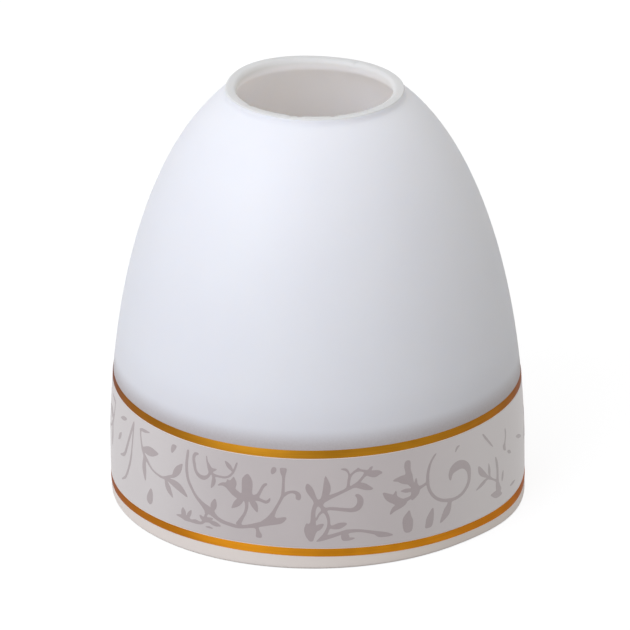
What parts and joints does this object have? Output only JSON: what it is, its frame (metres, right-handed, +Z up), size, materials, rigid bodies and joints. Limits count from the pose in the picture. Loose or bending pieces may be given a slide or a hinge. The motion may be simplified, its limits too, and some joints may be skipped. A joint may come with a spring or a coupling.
{
  "type": "bell lamp shade",
  "caption": "Opal glass bell shade for a lamp, open at its neck and mouth, with a fired vine band between gold lines.",
  "frame": {"origin": "on the axis of the bell, in the plane that its foot stands on", "axes": "+Z up the axis, from the wide mouth to the neck; the front of the printed band looks along -Y"},
  "size_m": [0.1142, 0.1142, 0.116],
  "materials": {
    "opal_glass": "satin opal, opaque white",
    "gold": "fired and burnished gold line",
    "band_enamel": "pale grey fired enamel, satin",
    "print_enamel": "grey violet fired print, satin"
  },
  "bodies": {
    "root": {"band_ground": "band_enamel", "glass_bell": "opal_glass", "lower_gold_line": "gold", "upper_gold_line": "gold", "vine_blade_far_right_1": "print_enamel", "vine_blade_far_right_2": "print_enamel", "vine_blossom_spiral_1": "print_enamel", "vine_blossom_spiral_2": "print_enamel", "vine_bud_far_right_1": "print_enamel", "vine_bud_far_right_2": "print_enamel", "vine_dash_far_right_1": "print_enamel", "vine_dash_far_right_2": "print_enamel", "vine_dash_low_1": "print_enamel", "vine_dash_low_2": "print_enamel", "vine_leaf_far_left_1": "print_enamel", "vine_leaf_far_left_2": "print_enamel", "vine_leaf_far_right_1": "print_enamel", "vine_leaf_far_right_2": "print_enamel", "vine_leaf_low_blossom_1": "print_enamel", "vine_leaf_low_blossom_2": "print_enamel", "vine_leaf_low_left_1": "print_enamel", "vine_leaf_low_left_2": "print_enamel", "vine_leaf_low_spiral_1": "print_enamel", "vine_leaf_low_spiral_2": "print_enamel", "vine_leaf_right_1": "print_enamel", "vine_leaf_right_2": "print_enamel", "vine_leaf_side_left_1": "print_enamel", "vine_leaf_side_left_2": "print_enamel", "vine_leaf_top_left_1": "print_enamel", "vine_leaf_top_left_2": "print_enamel", "vine_leaf_top_scroll_1": "print_enamel", "vine_leaf_top_scroll_2": "print_enamel", "vine_scroll_1": "print_enamel", "vine_scroll_2": "print_enamel", "vine_scroll_tendril_1": "print_enamel", "vine_scroll_tendril_2": "print_enamel", "vine_sprig_centre_1": "print_enamel", "vine_sprig_centre_2": "print_enamel", "vine_sprig_left_1": "print_enamel", "vine_sprig_left_2": "print_enamel", "vine_sprig_right_1": "print_enamel", "vine_sprig_right_2": "print_enamel", "vine_sprig_side_1": "print_enamel", "vine_sprig_side_2": "print_enamel", "vine_stroke_top_right_1": "print_enamel", "vine_stroke_top_right_2": "print_enamel", "vine_tendril_far_left_1": "print_enamel", "vine_tendril_far_left_2": "print_enamel", "vine_tick_top_1": "print_enamel", "vine_tick_top_2": "print_enamel"}
  },
  "joints": []
}
